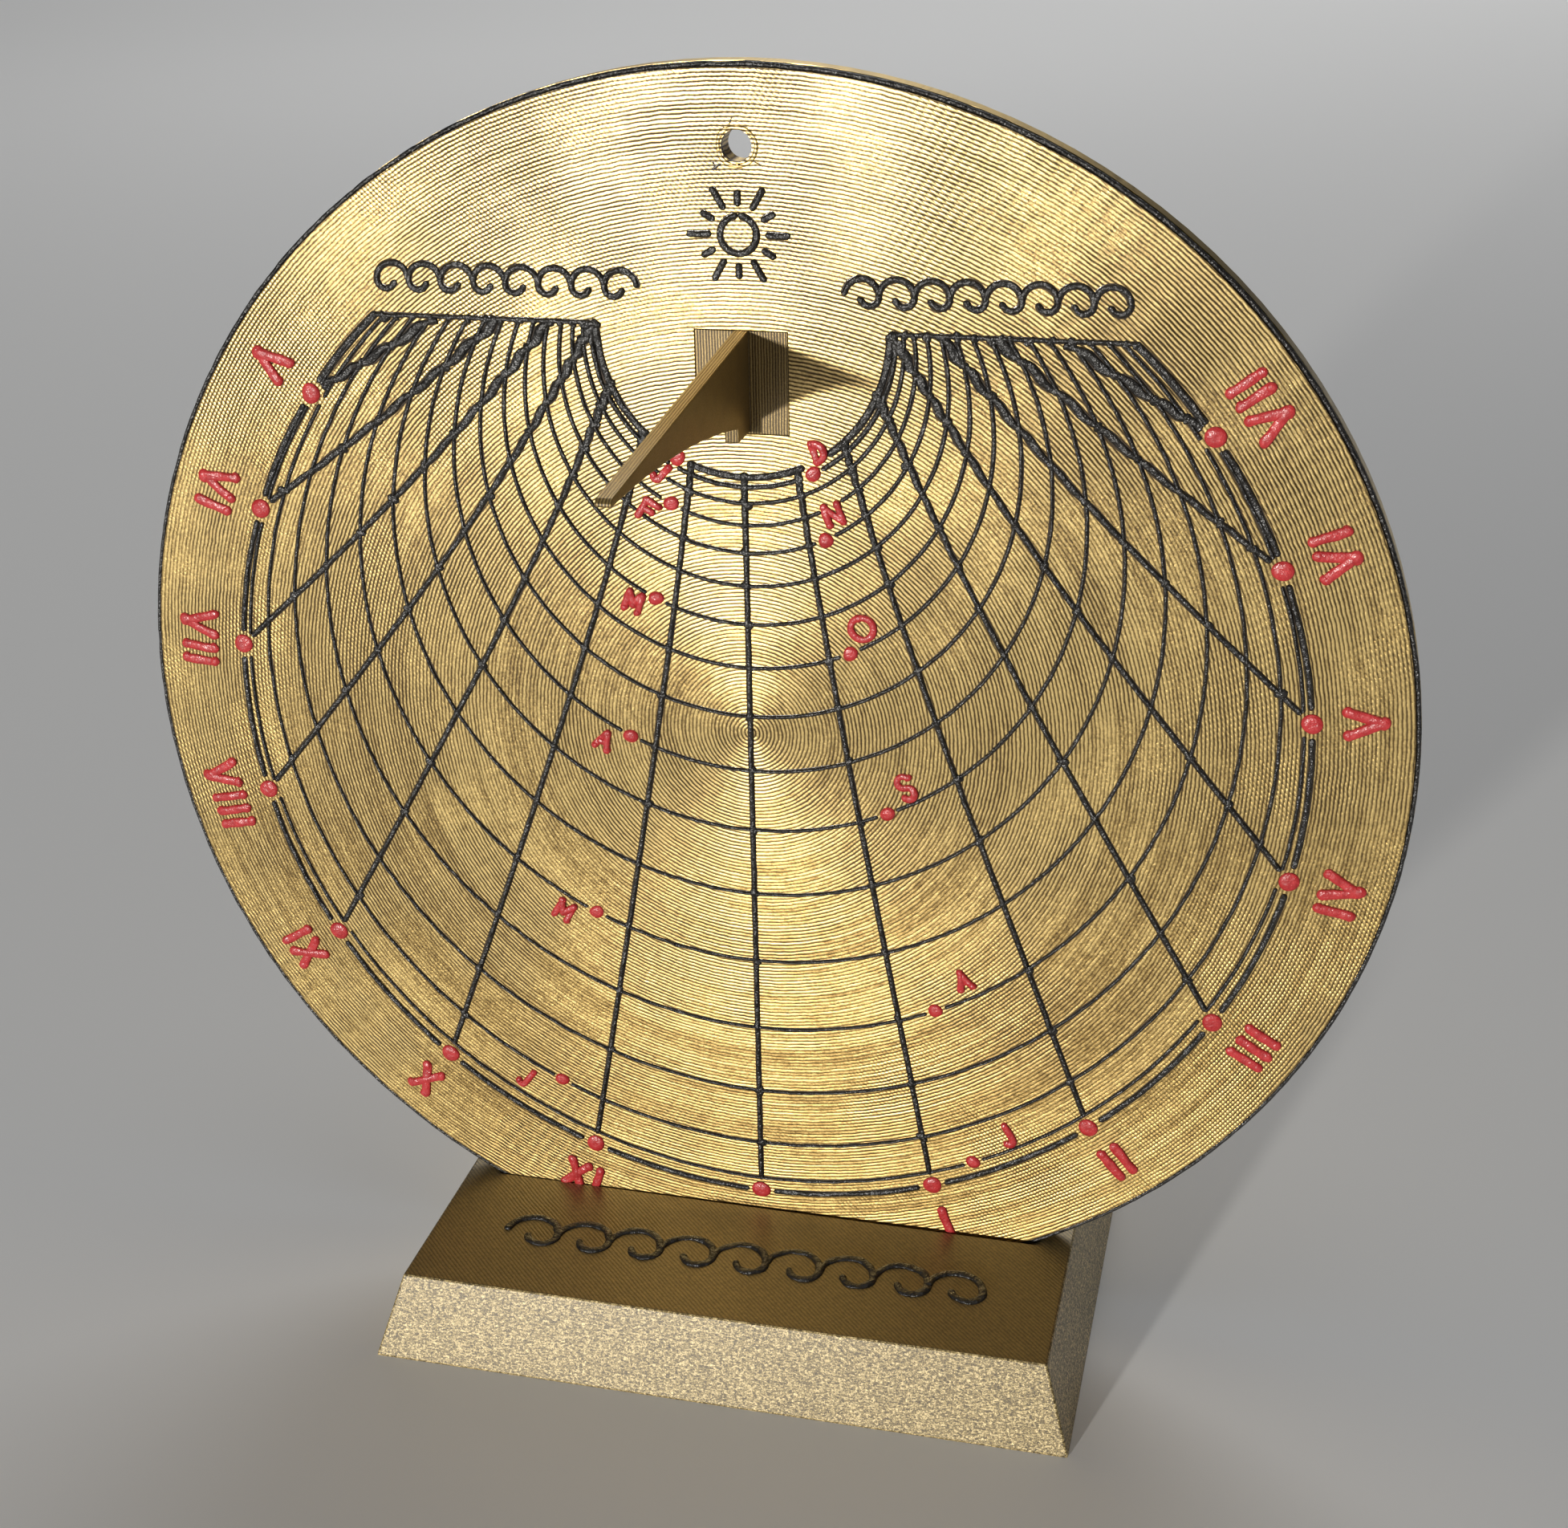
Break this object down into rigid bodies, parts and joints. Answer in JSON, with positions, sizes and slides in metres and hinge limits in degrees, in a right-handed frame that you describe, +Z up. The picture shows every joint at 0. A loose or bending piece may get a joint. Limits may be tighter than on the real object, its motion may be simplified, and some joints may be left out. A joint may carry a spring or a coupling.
{
  "type": "altitude sundial",
  "caption": "Round altitude sundial plate with raised hour and date lines and a plug-in fin gnomon, standing in the slot of a low flared plinth.",
  "frame": {"origin": "centre of the plinth's underside", "axes": "+Z up, +X to the right of someone who reads the dial, and the dial face looks along -Y"},
  "size_m": [0.1512, 0.0793, 0.1526],
  "materials": {
    "gold_plastic": "silky gold printed plastic with fine concentric extrusion ridges",
    "black_plastic": "glossy black printed beads",
    "red_plastic": "glossy red printed beads"
  },
  "bodies": {
    "stand": {"plinth": "gold_plastic", "plinth_scroll": "black_plastic"},
    "dial": {"plate_back": "gold_plastic", "plate_face": "gold_plastic", "plate_black_layer": "black_plastic", "date_lines": "black_plastic", "hour_ring": "black_plastic", "hour_lines": "black_plastic", "horizon_line_left": "black_plastic", "horizon_line_right": "black_plastic", "scroll_left": "black_plastic", "scroll_right": "black_plastic", "small_sun": "black_plastic", "hour_dots": "red_plastic", "month_dots": "red_plastic", "numeral_5_morning": "red_plastic", "numeral_6_morning": "red_plastic", "numeral_7_morning": "red_plastic", "numeral_8_morning": "red_plastic", "numeral_9_morning": "red_plastic", "numeral_10_morning": "red_plastic", "numeral_11_morning": "red_plastic", "numeral_1_afternoon": "red_plastic", "numeral_2_afternoon": "red_plastic", "numeral_3_afternoon": "red_plastic", "numeral_4_afternoon": "red_plastic", "numeral_5_afternoon": "red_plastic", "numeral_6_afternoon": "red_plastic", "numeral_7_afternoon": "red_plastic", "letter_january": "red_plastic", "letter_february": "red_plastic", "letter_march": "red_plastic", "letter_april": "red_plastic", "letter_may": "red_plastic", "letter_june": "red_plastic", "letter_july": "red_plastic", "letter_august": "red_plastic", "letter_september": "red_plastic", "letter_october": "red_plastic", "letter_november": "red_plastic", "letter_december": "red_plastic"},
    "gnomon": {"gnomon": "gold_plastic"}
  },
  "joints": [
    {"name": "dial_lift", "type": "slide", "parent": "stand", "child": "dial", "axis": [0, 0, 1], "range_m": [0, 0.02]},
    {"name": "gnomon_pull", "type": "slide", "parent": "dial", "child": "gnomon", "axis": [0, -1, 0], "range_m": [0, 0.006]}
  ]
}
